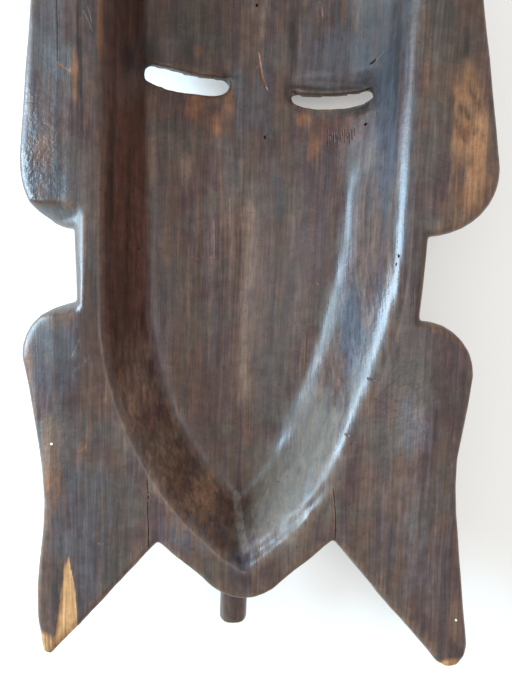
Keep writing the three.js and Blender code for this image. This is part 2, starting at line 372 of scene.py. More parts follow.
def carve(mask):
    points = readPoints(mask) / mm
    normals = readPoints(mask, "normal")
    inset = insetOf(points)
    depth = oval["back"] - points[:, 2]
    back = hollowSide(points, normals)
    x, y = points[:, 0], points[:, 1]
    height = np.zeros(len(points))
    for swell in swells:
        height += swell["height"] * noiseAt(points, swell["size"], swell["seed"])
    floor = fade(depth, *floorDepth) * back
    along = fade(y, *keel["low"]) * (1 - fade(y, *keel["top"]))
    height += keel["height"] * floor * along * np.exp(-((x - keel["x"]) / keel["halfWidth"]) ** 2)
    facet = back * fade(y, *chinFacet["along"]) * fade(x, *chinFacet["across"])
    facet *= fade(depth, *chinFacet["depth"])
    ridge = np.exp(-((inset - chinFacet["inset"]) / chinFacet["halfWidth"]) ** 2)
    height -= chinFacet["cut"] * facet * ridge
    for socket in sockets:
        away = awayFrom(points, *socket["at"], *socket["reach"])
        height -= socket["cut"] * floor * np.exp(-away ** 4)
    lip = back * fade(inset, *chinCuts["inset"]) * (1 - fade(depth, *chinCuts["depth"]))
    chin = (1 - fade(y, *chinCuts["along"])) * fade(x, *chinCuts["across"])
    height += chinCuts["height"] * lip * chin * noiseAt(points, chinCuts["size"], chinCuts["seed"])
    points += (height * fade(points[:, 2], *resting))[:, None] * normals
    writePoints(mask, points * mm)
    share = block["triangles"] / 2 / len(mask.data.polygons)
    useModifier(mask, "DECIMATE", ratio=share)
    useModifier(mask, "TRIANGULATE")
    print("carved", len(mask.data.polygons), "faces")


# Marks left by use and by the tools; the folds are painted with shade and the chin's ridge with a
# highlight

marks = {  # by the kind of colour in them: mm wide, mm deep, and the points of a line in plan
    "dark": [
        # split above the left notch
        (0.25, 0.6, (-51.6, -110.5), (-50.9, -118), (-51.2, -126), (-50.6, -133), (-50.4, -144)),
        # and above the right one
        (0.3, 0.5, (38.4, -113.5), (39.6, -120), (40.4, -127), (40.6, -133), (40.6, -141)),
        (0.8, 0.1, (-95.8, 110), (-95.4, 95), (-95.2, 80)),
        (2.6, 0.15, (-86, 112), (-85.4, 90), (-85, 66)),
        (1.1, 1.2, (53.9, 100.5), (55.4, 101.6)),
    ],
    "warm": [
        (0.5, 0.1, (37.6, -112), (38.9, -120), (39.6, -127), (39.9, -134)),
        (1.5, 0.1, (-95.7, 81), (-92, 78.5), (-87.5, 77)),
        (1.9, 0.5, (-3.8, 106), (-2.6, 100), (-0.9, 93), (1.2, 88.5)),
        (1.4, 0.4, (27.5, 133), (28.4, 128.5), (29, 126.5)),
        (0.9, 0.3, (-5.4, 98), (-4.2, 99.6)),
        (0.6, 0.2, (-36.8, 0.2), (-31, -2), (-27.5, -1.2), (-23.5, -0.2)),
        (1.3, 0.3, (31.2, -12.4), (32.4, -12.6)),
    ],
    "pale": [
        # the ridge down to the point of the chin, painted pale as a painted highlight
        (4.6, 0, (-8.4, -129), (-6.5, -138), (-3.5, -147)),
        (0.45, 0.12, (-24.6, 19), (-24.2, 9), (-24, 0)),
        (0.45, 0.12, (-16.6, 31), (-16.2, 24), (-15.8, 14)),
        (0.5, 0.15, (-79.5, -51.5), (-83, -56), (-87.6, -58.8)),
        (0.5, 0.15, (-82.6, -39), (-85.4, -46), (-87.8, -51.6)),
        (0.7, 0.2, (-84.5, -97.5), (-81.2, -94.8)),
        (0.4, 0.1, (-76.8, -142.4), (-68.5, -142)),
        (0.4, 0.1, (-84, 104), (-79.5, 95)),
        (0.4, 0.1, (-82, 105.5), (-80, 99)),
        (0.7, 0.25, (56.2, 100.8), (58.6, 103.6)),
    ],
    # The right ear's folds and two nicks in the rim, painted dark: painted shade in them
    "fold": [
        (4.6, 0.3, (85.5, 73.9), (90, 71.5), (95.5, 66.6)),
        (4.6, 0.3, (86.4, 65.8), (90.5, 62), (94.8, 56.2)),
        (4, 0.2, (93.5, 82), (97, 77), (100.6, 71.6)),
        (3, 0.15, (95.6, 60.6), (99, 60.4), (103.5, 58.8)),
        (1.0, 0.3, (53.6, -58.8), (56, -59.4)),
        (0.9, 0.25, (43.4, -86.6), (45.2, -87.2)),
    ],
}
marks["dark"] += [  # chisel pricks under the right slot
    (0.4, 0.25, (34.5 + 1.1 * i, 70 - 1.2 * (i * 3 % 4)), (34.7 + 1.1 * i, 61 + 1.2 * (i * 2 % 5)))
    for i in range(13)
]
pits = [  # worm holes and dents: x, y, mm across, mm deep
    (-105.9, 50.1, 1.3, 2.5), (52.4, 70.1, 1.3, 2.5), (-5.4, 130.5, 1.3, 2.0),
    (1.1, 63.7, 1.2, 0.8), (65.6, 0.6, 0.9, 0.7), (64.6, -3.4, 0.8, 0.6), (-62.5, 2.2, 1.0, 0.8),
    (-63.2, -7.4, 0.9, 0.8),
]
throughHoles = [(-98.3, -93.5, 1.25), (104.8, -181.8, 1.15)]  # x, y, mm across
bareSliver = {
    "rows": [-148.5, -158, -166, -175, -186, -196, -206],  # mm along, from its point to the tip
    "left": [-88.8, -90.9, -92.0, -93.2, -94.8, -97.3, -104],
    "right": [-88.7, -86.7, -85.1, -84.4, -84.0, -86.0, -92.6],
    "edge": (-0.2, 0.5),
    "sink": 0.5,
    "level": (-212, -190),  # it sinks less towards the tip
}
bareTips = [(-102, -201, 12, 17), (-107.5, -188, 3.5, 15), (104, -209, 13, 9)]
tipEdge = (0.4, 1.1)
markFacing = -0.1  # marks begin a little nearer to the back than the carving does
finer = {  # where the mesh is split for the marks
    "widest": 2,  # mm, a wider mark needs no finer mesh
    "byMarks": 0.8,
    "byPits": 0.9,
    "markCuts": 4,
    "bareCuts": 2,
    "bare": (0.02, 0.98),
}
groove = {"ends": 0.35, "cap": 0.02, "least": 0.12, "slope": 1.15}  # narrower at its ends
pitSlope = {"from": 0.25, "to": 0.55}  # of its width, where the side of a pit begins and ends
drilling = {
    "eye": (-12.2, -25.2, 301.2),  # mm, the holes are in line with the camera
    "corners": 12,
    "length": 20,
    "under": 7,
    "smoothAngle": 50,
}


def besideLine(points, line):
    # How far each point lies in plan from a line of straight pieces, and how far along it, 0 to 1
    best = np.full(len(points), 1e9)
    share = np.zeros(len(points))
    ends = np.array(line, float)
    lengths = np.hypot(*(ends[1:] - ends[:-1]).T)
    start = 0.0
    for a, b, length in zip(ends[:-1], ends[1:], lengths):
        t = np.clip(((points[:, :2] - a) @ (b - a)) / length ** 2, 0, 1)
        away = np.hypot(*(points[:, :2] - a - t[:, None] * (b - a)).T)
        near = away < best
        best[near] = away[near]
        share[near] = (start + t[near] * length) / lengths.sum()
        start += length
    return best, share


def splitFaces(mask, chosen, cuts):
    # Splits the triangles that touch the chosen points
    only(mask)
    corners = np.empty(len(mask.data.polygons) * 3, int)
    mask.data.polygons.foreach_get("vertices", corners)
    picked = chosen[corners].reshape(-1, 3).any(1)
    bpy.ops.object.mode_set(mode="EDIT")
    bpy.ops.mesh.select_mode(type="FACE")
    bpy.ops.mesh.select_all(action="DESELECT")
    bpy.ops.object.mode_set(mode="OBJECT")
    mask.data.polygons.foreach_set("select", picked)
    bpy.ops.object.mode_set(mode="EDIT")
    bpy.ops.mesh.subdivide(number_cuts=cuts)
    bpy.ops.mesh.select_all(action="SELECT")
    bpy.ops.mesh.quads_convert_to_tris()
    bpy.ops.object.mode_set(mode="OBJECT")


def onBack(mask):
    points = readPoints(mask) / mm
    return points, hollowSide(points, readPoints(mask, "normal"), markFacing)


def bareMap(points):
    # 1 where the wood is bare: the chipped sliver and the tips of the legs
    x, y = points[:, 0], points[:, 1]
    rows = bareSliver["rows"][::-1]
    left = np.interp(y, rows, bareSliver["left"][::-1])
    right = np.interp(y, rows, bareSliver["right"][::-1])
    bare = fade(np.minimum(x - left, right - x), *bareSliver["edge"]) * (y < bareSliver["rows"][0])
    for tip in bareTips:
        bare = np.maximum(bare, 1 - fade(awayFrom(points, *tip), *tipEdge))
    return bare


def scratch(mask):
    points, back = onBack(mask)
    near = np.zeros(len(points), bool)
    lines = [mark for kind in marks.values() for mark in kind]
    for wide, _, *line in lines:
        if wide < finer["widest"]:
            near |= besideLine(points, line)[0] < wide / 2 + finer["byMarks"]
    for x, y, wide, _ in pits:
        near |= awayFrom(points, x, y, 1, 1) < wide / 2 + finer["byPits"]
    splitFaces(mask, near & (back > 0.5), finer["markCuts"])
    points, back = onBack(mask)
    bare = bareMap(points)
    edge = (bare > finer["bare"][0]) & (bare < finer["bare"][1])
    splitFaces(mask, edge & (back > 0.5), finer["bareCuts"])
    points, back = onBack(mask)
    normals = readPoints(mask, "normal")
    depth = np.zeros(len(points))
    for wide, deep, *line in lines:
        away, share = besideLine(points, line)
        swell = np.sin(np.pi * np.clip(share, groove["cap"], 1 - groove["cap"])) ** 0.5
        half = wide / 2 * (groove["ends"] + (1 - groove["ends"]) * swell) + groove["least"]
        half *= groove["slope"]
        depth = np.maximum(depth, deep * (1 - fade(away, 0, half)) * (away < half))
    for x, y, wide, deep in pits:
        away = awayFrom(points, x, y, 1, 1)
        slope = fade(away, wide * pitSlope["from"], wide * pitSlope["to"])
        depth = np.maximum(depth, deep * (1 - slope))
    chip = bareSliver["sink"] * bareMap(points) * fade(points[:, 1], *bareSliver["level"])
    points -= ((depth + chip) * back)[:, None] * normals
    writePoints(mask, points * mm)
    print("scratched", len(mask.data.polygons), "faces")


def drill(mask):
    # Two small holes go right through
    points, back = onBack(mask)
    tools = []
    for x, y, wide in throughHoles:
        away = np.where(back < 0.5, np.inf, awayFrom(points, x, y, 1, 1))
        top = Vector(points[away.argmin()])
        way = (Vector(drilling["eye"]) - top).normalized()
        bpy.ops.object.select_all(action="DESELECT")
        bpy.ops.mesh.primitive_cylinder_add(
            vertices=drilling["corners"], radius=wide / 2 * mm, depth=drilling["length"] * mm,
            location=(top - way * drilling["under"]) * mm,
            rotation=way.to_track_quat("Z", "Y").to_euler())
        tools.append(bpy.context.object)
    for tool in tools:
        useModifier(mask, "BOOLEAN", object=tool, operation="DIFFERENCE", solver="EXACT")
        bpy.data.objects.remove(tool)
    only(mask)
    bpy.ops.object.mode_set(mode="EDIT")
    bpy.ops.mesh.select_all(action="SELECT")
    bpy.ops.mesh.quads_convert_to_tris()
    bpy.ops.object.mode_set(mode="OBJECT")
    bpy.ops.object.shade_smooth_by_angle(angle=math.radians(drilling["smoothAngle"]))
    print("drilled", len(mask.data.polygons), "faces")


# Stains, wear, dirt and painted light and shade: one value per point for each kind, from where it
# lies on the wood

stainsAndPaintedLight = {  # x, y, reach across, reach along, strength
    # orange wood with a painted warm sheen
    "glow": [
        (93, 76, 10, 14, 0.9), (98, 58, 11, 18, 1.0), (101, 38, 9, 18, 0.9), (90, 24, 12, 14, 0.45),
        (-109, 58, 3, 14, 0.5),
    ],
    "warm": [
        (92, 78, 3, 7, 0.7), (95, 62, 3, 8, 0.7), (101, 48, 4, 9, 0.6), (95, 29, 5, 8, 0.6),
        (-36.5, 79, 6, 9, 0.95), (-29, 84, 11, 4, 0.6), (-19, 82, 4, 10, 0.85),
        (-25.5, 69, 4, 8, 0.9), (-34, 105, 7, 5, 0.6), (21.9, 74.5, 5, 5, 0.9),
        (27.3, 60, 4, 10, 0.8), (-76.8, 97, 1.4, 18, 1.0), (-87.5, 74, 2, 13, 1.0),
        (-82, 60, 2, 14, 0.5), (-104, 42, 8, 10, 0.55), (-72, -72, 1.5, 3, 0.8),
        (-110, -58, 3, 16, 0.9), (-98, -112, 7, 22, 0.65), (-79, -80, 2, 40, 0.45),
        (-85, -100, 5, 9, 0.5), (73.5, 80, 2.2, 32, 0.5), (-81, 70, 4, 20, 0.6),
        (-24, -124, 12, 16, 0.4), (-56, -78, 8, 16, 0.4), (77, -20, 2, 9, 0.5),
    ],
    "red": [
        (-78, 30, 9, 60, 0.6), (-76, -50, 9, 40, 0.5), (38, 69, 17, 9, 1.0),
        (64.2, 75, 1.8, 38, 0.8), (-12, -62, 4, 30, 0.4), (-80.5, 68, 3, 22, 0.7),
        (30, -30, 4, 26, 0.4), (62, -125, 9, 30, 0.3),
    ],
    # painted bluish sheen of the window light
    "paintedCoolSheen": [
        (-101, 95, 13, 45, 0.7), (-100, 22, 13, 16, 0.8), (-98, -50, 16, 26, 0.8),
        (-84, -140, 17, 60, 0.7), (38, 108, 24, 20, 0.9), (77, -82, 11, 16, 1.0),
        (-12, 79, 5, 24, 0.9), (82, -140, 26, 60, 0.45), (-2, 72, 9, 12, 0.6), (-2, 90, 9, 10, 0.7),
        (-18, 48, 6, 20, 0.6), (8, 40, 5, 26, 0.6), (-48, -20, 5, 30, 0.5),
        (-34, -139, 18, 10, 0.7),
    ],
    "moss": [
        (70, -55, 12, 16, 0.5), (-36, 112, 17, 17, 0.9), (80, 109, 7, 16, 0.8),
        (-46, 66, 12, 6, 0.8), (-84, 110, 4, 14, 0.7), (-66, -150, 10, 22, 0.7),
    ],
    # painted darker bluish sheen, on the right wall and the rims
    "paintedBlueSheen": [
        (60.6, 72, 6, 52, 1.0), (66, 25, 5, 35, 0.6), (48.3, -36, 6, 28, 0.9),
        (-5.8, -152.6, 9, 5, 0.8), (-72, -20, 2.5, 30, 0.5),
    ],
    # lighter wood, with painted light on the lower left wall of the hollow
    "light": [
        (-5.1, 9.6, 4, 32, 1.0), (-6, -50, 5, 40, 0.8), (-40, 48, 5, 14, 0.8),
        (-58, 48, 4, 22, 0.8), (-50.2, 2.6, 3.5, 22, 0.7), (18, 25, 5, 24, 0.6),
        (-36, -30, 7, 40, 0.5), (24, -40, 5, 34, 0.5), (-62, -62, 6, 30, 0.7),
        (-47, -104, 8, 20, 0.8), (-26, -126, 9, 12, 0.8), (70, -120, 20, 34, 0.35),
        (-2, 128, 4, 20, 0.6),
    ],
    # partly painted shade: the floor under the upper left wall, the slots' upper lips, the dish
    # beside the nose ridge, the ridge's shaded side and beside the slots' ends
    "dark": [
        (-59.2, 104, 6, 18, 0.95), (-68, 93, 3, 9, 0.8), (13.4, 89, 4.5, 8, 0.95),
        (26, 91.6, 16, 1.2, 0.9), (46, 92.2, 11, 1.2, 0.9), (-23, 94.5, 9, 2.0, 1.1),
        (-72, 40, 1.2, 50, 0.7), (-66.5, 5, 1.1, 60, 0.6), (-69, -40, 1.4, 36, 0.5),
        (14.3, 118, 4, 26, 0.75), (-22, 122, 3, 20, 0.5), (-13, 58, 4, 8, 0.55), (5, 62, 7, 9, 0.5),
        (-10.5, 5, 1.8, 40, 0.7), (-20, -30, 2.5, 50, 0.55), (8, -30, 2.5, 40, 0.5),
        (-32, 0, 2, 30, 0.4), (26, 5, 2.5, 36, 0.45), (-62, -128, 8, 24, 0.4),
        (-94, -165, 5, 22, 0.6), (62.5, 92, 1.2, 35, 0.6), (66, -45, 8, 6, 0.6),
        (92, 98, 3, 24, 0.5),
    ],
    # dust on the chin walls, painted lighter and greyer as a painted sheen too
    "dustAndSheen": [
        (12, -120, 17, 24, 1.0), (30, -92, 13, 30, 1.0), (-16, -116, 14, 20, 0.5),
    ],
    "pitted": [
        (-103, 36, 13, 36, 1.0), (-97, -105, 9, 34, 0.7), (77, -78, 14, 24, 0.9),
        (100, 50, 12, 30, 0.4),
    ],
    "matt": [
        (54, 112, 13, 46, 1.0), (49, 56, 7, 9, 0.8), (-80, 68, 4, 20, 0.7), (-65, 96, 9, 18, 1.4),
    ],
}
paintedLightTones = [  # x, y, reach across, reach along, and how many times lighter the wood is painted there: partly its own tone, partly painted light and painted shade
    (-101, 95, 15, 60, 0.74), (-103, 25, 15, 26, 0.68), (-98, -52, 17, 22, 0.78),
    (-80, 60, 7, 90, 0.74), (-77, -52, 6, 36, 0.82), (-36, 108, 20, 20, 0.85),
    (59, 104, 10, 44, 0.5), (38, 110, 16, 24, 0.78), (73, 60, 5, 100, 0.85), (72, -14, 7, 30, 0.7),
    (-80.5, 68, 5, 22, 0.74), (-77, -20, 6, 24, 0.85), (-87.5, 73, 3, 16, 1.2),
    (92, -46, 14, 10, 1.15), (88, 112, 14, 24, 0.84), (74, -82, 10, 18, 1.35),
    (88, -160, 16, 40, 1.1), (-27, 24, 20, 44, 1.4), (-5, 10, 8, 50, 1.1), (-30, -50, 20, 36, 1.25),
    (14, 20, 8, 50, 0.82), (-7, -84, 18, 26, 1.2), (-56, -78, 10, 18, 1.2), (31, -83, 10, 14, 1.12),
    (78, -78, 11, 20, 1.15), (94, 60, 10, 22, 1.2), (-82, -122, 18, 44, 0.84),
    (95, -176, 12, 20, 1.08), (-95, -60, 10, 18, 0.9), (-20, -120, 30, 24, 1.2),
    (-8, -196, 12, 30, 0.85), (-6, -156, 22, 10, 0.8),
]
markStainAndPaintedLight = {"strength": 0.9, "full": 0.2, "none": 0.7, "least": 0.1}
# The pits are painted darker inside
pitDarkening = {"strength": 1.5, "side": (0.4, 0.75)}
slotPaintedShade = {  # the sides of the slots are painted dark: painted shade
    "strength": 1.4, "near": (0.85, 1.1), "upright": (0.4, 0.15), "depth": (32, 35),
}
# The left wall is painted redder and darker where it faces away from the lamp: partly its own red,
# partly painted shade; the shade above is painted shade too
leftWall = {  # redder than the rest, and shaded above
    "facing": (0.25, 0.7), "inset": (6, 13), "shade": 0.35, "shadeAlong": (50, 110),
    "lowest": 0.3, "redAlong": (-80, 10),
}
wear = {"rounds": 12, "perMm": 2.2, "calmAtRubs": (0.5, 1.0)}
polish = {  # the right rim shines
    "across": (0, 30), "outer": (6, 9), "inner": (28, 22), "depth": (9, 4),
}


def stainAndPaintedLightMap(points, kind):
    total = np.zeros(len(points))
    for *spot, strength in stainsAndPaintedLight.get(kind, []):
        total = np.maximum(total, strength * np.exp(-awayFrom(points, *spot) ** 2))
    return total


def paintedLightToneMap(points):
    total = np.ones(len(points))
    for *spot, times in paintedLightTones:
        total *= 1 + (times - 1) * np.exp(-awayFrom(points, *spot) ** 3)
    return total


def writeMark(obj, name, values):
    mark = obj.data.attributes.new(name, "FLOAT", "POINT")
    mark.data.foreach_set("value", np.clip(values, 0, 1.5).astype(np.float32))


def paintStainsAndLight(obj):
    points = readPoints(obj) / mm
    normals = readPoints(obj, "normal")
    inset = insetOf(points)
    depth = oval["back"] - points[:, 2]
    back = hollowSide(points, normals)
    onLeft = fade(normals[:, 0], *leftWall["facing"]) * fade(inset, *leftWall["inset"])
    redAndShade = fade(points[:, 1], *leftWall["redAlong"])
    redAndShade = onLeft * (leftWall["lowest"] + (1 - leftWall["lowest"]) * redAndShade)
    for kind in dict.fromkeys((*stainsAndPaintedLight, *marks)):
        total = stainAndPaintedLightMap(points, kind)
        for wide, _, *line in marks.get(kind, []):
            away = besideLine(points, line)[0]
            full = 0 if kind == "fold" else wide * markStainAndPaintedLight["full"]
            faded = fade(away, full, wide * markStainAndPaintedLight["none"] + markStainAndPaintedLight["least"])
            total = np.maximum(total, markStainAndPaintedLight["strength"] * (1 - faded))
        # the left wall's red, partly painted shade
        if kind == "red":
            total = np.maximum(total, redAndShade)
        if kind == "dark":
            # painted shade on the sides of the slots
            inSlot = nearSlots(points, *slotPaintedShade["near"]) * fade(depth, *slotPaintedShade["depth"])
            inSlot *= fade(normals[:, 2], *slotPaintedShade["upright"])
            total = np.maximum(total, slotPaintedShade["strength"] * inSlot)
            for x, y, wide, _ in pits:
                faded = fade(awayFrom(points, x, y, wide, wide), *pitDarkening["side"])
                total = np.maximum(total, pitDarkening["strength"] * (1 - faded))
        writeMark(obj, kind, total * back)
    shade = leftWall["shade"] * onLeft * fade(points[:, 1], *leftWall["shadeAlong"])
    # Painted light and shade with the wood's tone. Halved, because a mark ends at 1.5 and the
    # material doubles it
    writeMark(obj, "paintedLightTone", (paintedLightToneMap(points) * back + 1 - back) * (1 - shade) / 2)
    rounded = relax(obj, points, np.ones(len(points)), wear["rounds"])
    bend = ((points - rounded) * normals).sum(1)  # mm that a point stands out of its surroundings
    for rub in rubs:
        bend *= fade(awayFrom(points, *rub["at"], *rub["reach"]), *wear["calmAtRubs"])
    writeMark(obj, "worn", bend * wear["perMm"])
    writeMark(obj, "sunk", -bend * wear["perMm"])
    writeMark(obj, "bare", bareMap(points) * back)
    shine = fade(points[:, 0], *polish["across"]) * fade(depth, *polish["depth"])
    shine *= fade(inset, *polish["outer"]) * fade(inset, *polish["inner"])
    writeMark(obj, "polished", shine * back)
    print("stainedAndLit")


mask = makeBlock()
carve(mask)
scratch(mask)
drill(mask)
paintStainsAndLight(mask)


# Wood, with painted sheens, highlights and shade among its colours

colours = {
    "deep": (0.022, 0.013, 0.010),
    "plum": (0.074, 0.042, 0.040),
    "brown": (0.122, 0.068, 0.048),
    "olive": (0.094, 0.074, 0.058),
    "slate": (0.078, 0.074, 0.080),
    "tan": (0.190, 0.118, 0.080),
    "red": (0.112, 0.041, 0.027),
    "warm": (0.29, 0.120, 0.050),
    # orange with a painted warm sheen
    "glow": (0.36, 0.175, 0.080),
    # painted bluish sheen
    "paintedCoolSheen": (0.092, 0.088, 0.098),
    # painted darker bluish sheen
    "paintedBlueSheen": (0.072, 0.076, 0.092),
    "moss": (0.064, 0.056, 0.046),
    # dust with a painted sheen
    "dustAndSheen": (0.158, 0.122, 0.088),
    "light": (0.210, 0.138, 0.096),
    "pale": (0.26, 0.22, 0.19),
    "worn": (0.19, 0.105, 0.060),
    "bareDark": (0.28, 0.128, 0.048),
    "bareLight": (0.50, 0.265, 0.108),
}
grain = {  # mm across and along the fibres, detail
    "broad": (10, 140, 3.0),
    "middle": (3.0, 95, 2.5),
    "fine": (1.3, 42, 2.0),
    "hair": (0.7, 13, 1.0),
}
drift = {"across": 28, "along": 110, "by": 0.007}  # mm, mm and m: the fibres wander a little
clouds = {  # scale, detail, roughness
    "cloud": (45, 4, 0.5),
    "speck": (600, 2, 0.5),
    "mottle": (170, 5, 0.65),
    "grit": (420, 3, 0.5),
}
baseLayers = [  # colour, the noise that picks it, where it begins and is full, how strong
    ("plum", "broad", 0.42, 0.58, 1.0),
    ("olive", "cloud", 0.45, 0.62, 0.8),
    ("tan", "middle", 0.52, 0.72, 0.24),
    ("slate", "middle", 0.47, 0.30, 0.42),
]
markLayers = [  # mark, colour, mm of its torn edge (0 if it isn't torn), how torn, how strong
    ("light", "light", 4, 0.8, 0.75),
    ("dustAndSheen", "dustAndSheen", 5, 0.5, 0.7),
    ("paintedCoolSheen", "paintedCoolSheen", 3, 0.8, 0.7),
    ("paintedBlueSheen", "paintedBlueSheen", 3, 0.6, 0.8),
    ("moss", "moss", 4, 0.6, 0.8),
    ("red", "red", 6, 0.3, 0.66),
    ("dark", "deep", 3, 0.5, 0.75),
    ("glow", "glow", 5, 0.6, 0.9),
    ("warm", "warm", 2.5, 0.6, 0.62),
    # painted shade in the folds
    ("fold", "deep", 0, 0, 0.6),
    ("worn", "worn", 2, 0.8, 0.5),
    ("sunk", "deep", 3, 0.6, 0.5),
    # the chin's ridge among them is a painted highlight
    ("pale", "pale", 1.0, 0.6, 0.5),
]
contrasts = [  # the noise, where it is darkest and lightest, and how much darker or lighter
    ("fine", 0.3, 0.7, 0.16),
    ("mottle", 0.3, 0.7, 0.20),
    ("hair", 0.25, 0.75, 0.13),
    ("middle", 0.3, 0.7, 0.13),
]
specks = {
    "light": (0.67, 0.74), "clouds": (0.42, 0.6), "strength": 0.35, "dark": (0.34, 0.26, 0, 0.5),
}
shades = {
    "glow": (0.3, 0.6, 0.6, 1.0),  # the painted sheen lies on the middle streaks
    "paintedLightTone": (0.3, 0.7, 1.72, 2.28),  # on the broad ones, doubled
    "bare": (0.35, 0.6),
    "plainDustAndSheen": 0.4,
}
bareEdge = (1.2, 0.3)  # mm of the torn edge, how torn
dustAndSheenEdge = {"colour": (5, 0.5), "gloss": (5, 0.7)}
gloss = {  # roughness, and what the marks add to it
    "cloud": (0.3, 0.7, 0.28, 0.40), "fine": (0.3, 0.7, -0.04, 0.06),
    "dustAndSheen": 0.2, "bare": 0.25, "matt": 0.35, "polished": -0.06,
}
relief = {"fine": 0.00007, "hair": 0.00003, "grit": 0.00009, "pitted": 0.00035}  # m
ragged = {"long": 5.0, "detail": 4.0, "thin": 0.25, "from": 0.15, "full": 0.85}


def put(tree, kind, inputs=None, **settings):
    node = tree.nodes.new(kind)
    for name, value in settings.items():
        setattr(node, name, value)
    for name, value in (inputs or {}).items():
        if isinstance(value, bpy.types.NodeSocket):
            tree.links.new(value, node.inputs[name])
        else:
            node.inputs[name].default_value = value
    return node


def sums(tree, how, *values):
    # A Math node on two or three values
    return put(tree, "ShaderNodeMath", dict(enumerate(values)), operation=how).outputs[0]


def product(tree, *values):
    return sums(tree, "MULTIPLY", *values)


def blendColour(tree, share, under, over, how="MIX"):
    def four(value):
        return value if isinstance(value, bpy.types.NodeSocket) else (*value, 1)
    node = put(tree, "ShaderNodeMix", {0: share, 6: four(under), 7: four(over)},
               data_type="RGBA", blend_type=how, clamp_factor=True)
    return node.outputs[2]


def spread(tree, value, low, high, newLow=0.0, newHigh=1.0):
    node = put(tree, "ShaderNodeMapRange", {"Value": value, "From Min": low, "From Max": high,
               "To Min": newLow, "To Max": newHigh}, interpolation_type="SMOOTHSTEP")
    return node.outputs["Result"]


def newGroup(name, inputs):
    # A node group with these inputs and one output, Value
    tree = bpy.data.node_groups.new(name, "ShaderNodeTree")
    for label, value in inputs.items():
        kind = "NodeSocketVector" if value is None else "NodeSocketFloat"
        socket = tree.interface.new_socket(label, in_out="INPUT", socket_type=kind)
        if value is not None:
            socket.default_value = value
    tree.interface.new_socket("Value", in_out="OUTPUT", socket_type="NodeSocketFloat")
    result = tree.nodes.new("NodeGroupOutput").inputs["Value"]
    return tree, tree.nodes.new("NodeGroupInput").outputs, result


def stretched(tree, place, across, along, high):
    # The place in cells of noise, so many to a metre each way
    scale = put(tree, "ShaderNodeCombineXYZ", {"X": across, "Y": along, "Z": high})
    node = put(tree, "ShaderNodeVectorMath", {0: place, 1: scale.outputs[0]}, operation="MULTIPLY")
    return node.outputs[0]


def makeStreaks():
    # Long streaks along the fibres, from 0 to 1 about 0.5
    tree, given, result = newGroup(
        "streaks", {"Vector": None, "Across": 1.0, "Along": 30.0, "Detail": 2.0})
    across = sums(tree, "DIVIDE", 1 / mm, given["Across"])
    along = sums(tree, "DIVIDE", 1 / mm, given["Along"])
    place = stretched(tree, given["Vector"], across, along, sums(tree, "DIVIDE", across, 3.0))
    swirl = put(tree, "ShaderNodeTexNoise", {"Vector": place, "Scale": 1.0,
                "Detail": given["Detail"], "Roughness": 0.6})
    tree.links.new(swirl.outputs["Fac"], result)
    return tree


def makeRagged():
    # A soft mask given torn edges that follow the fibres
    tree, given, result = newGroup(
        "raggedEdge", {"Mask": 0.0, "Vector": None, "Size": 4.0, "Bite": 0.6, "Most": 1.0})
    size = sums(tree, "DIVIDE", 1 / mm, given["Size"])
    along = sums(tree, "DIVIDE", size, ragged["long"])
    place = stretched(tree, given["Vector"], size, along, size)
    torn = put(tree, "ShaderNodeTexNoise", {"Vector": place, "Scale": 1.0,
               "Detail": ragged["detail"]})
    push = product(tree, sums(tree, "SUBTRACT", torn.outputs["Fac"], 0.5), given["Bite"])
    push = product(tree, push, 2.0)
    push = product(tree, push, spread(tree, given["Mask"], 0.0, ragged["thin"]))
    total = sums(tree, "ADD", given["Mask"], push)
    total = spread(tree, total, ragged["from"], ragged["full"])
    tree.links.new(product(tree, total, given["Most"]), result)
    return tree


